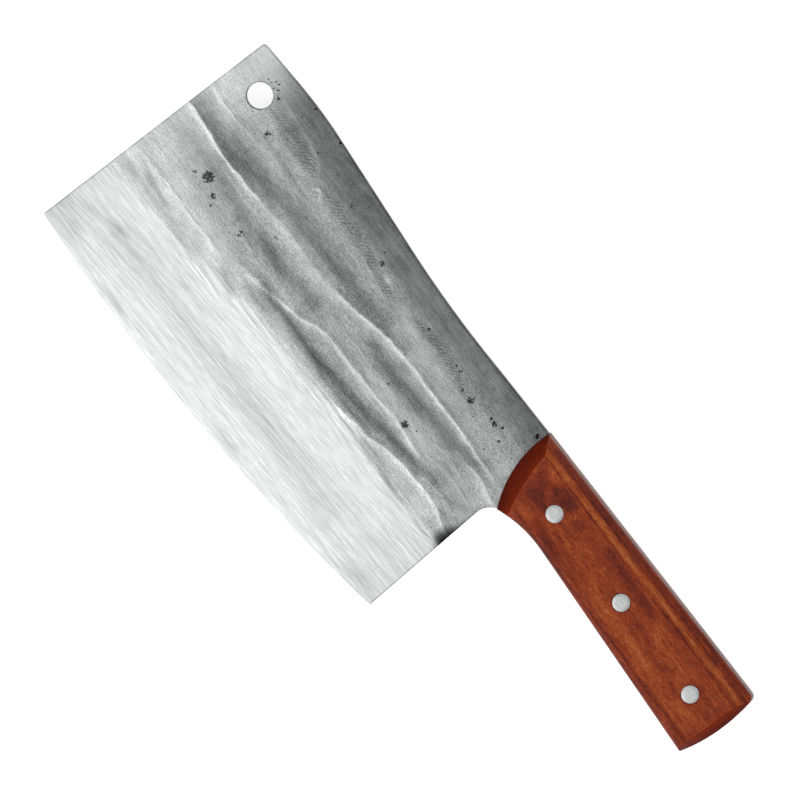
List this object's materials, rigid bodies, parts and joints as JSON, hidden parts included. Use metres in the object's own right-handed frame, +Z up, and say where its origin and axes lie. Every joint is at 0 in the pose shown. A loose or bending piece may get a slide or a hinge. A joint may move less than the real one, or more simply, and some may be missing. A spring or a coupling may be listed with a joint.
{
  "type": "meat cleaver",
  "caption": "Full-tang butcher's cleaver with a deep rectangular forged blade, a curved edge, a hanging hole near the tip and two riveted wooden handle scales.",
  "frame": {"origin": "on the surface that the knife lies on, under the middle of its bounding box", "axes": "+X along the knife from the tip to the butt of the handle, +Y across it from the cutting edge to the spine, +Z up through its thickness, out of the blade's left side"},
  "size_m": [0.3216, 0.1134, 0.0204],
  "materials": {
    "forged_steel": "forged dark grey faces with long shallow hammer scallops, and a bright ground bevel towards the edge",
    "handle_wood": "oiled reddish-brown hardwood, grain lengthwise, satin",
    "rivet_steel": "flush heads sanded with the wood, satin"
  },
  "bodies": {
    "root": {"blade": "forged_steel", "left_scale": "handle_wood", "right_scale": "handle_wood", "front_rivet_tube": "rivet_steel", "front_rivet_pin": "rivet_steel", "middle_rivet_tube": "rivet_steel", "middle_rivet_pin": "rivet_steel", "rear_rivet_tube": "rivet_steel", "rear_rivet_pin": "rivet_steel"}
  },
  "joints": []
}
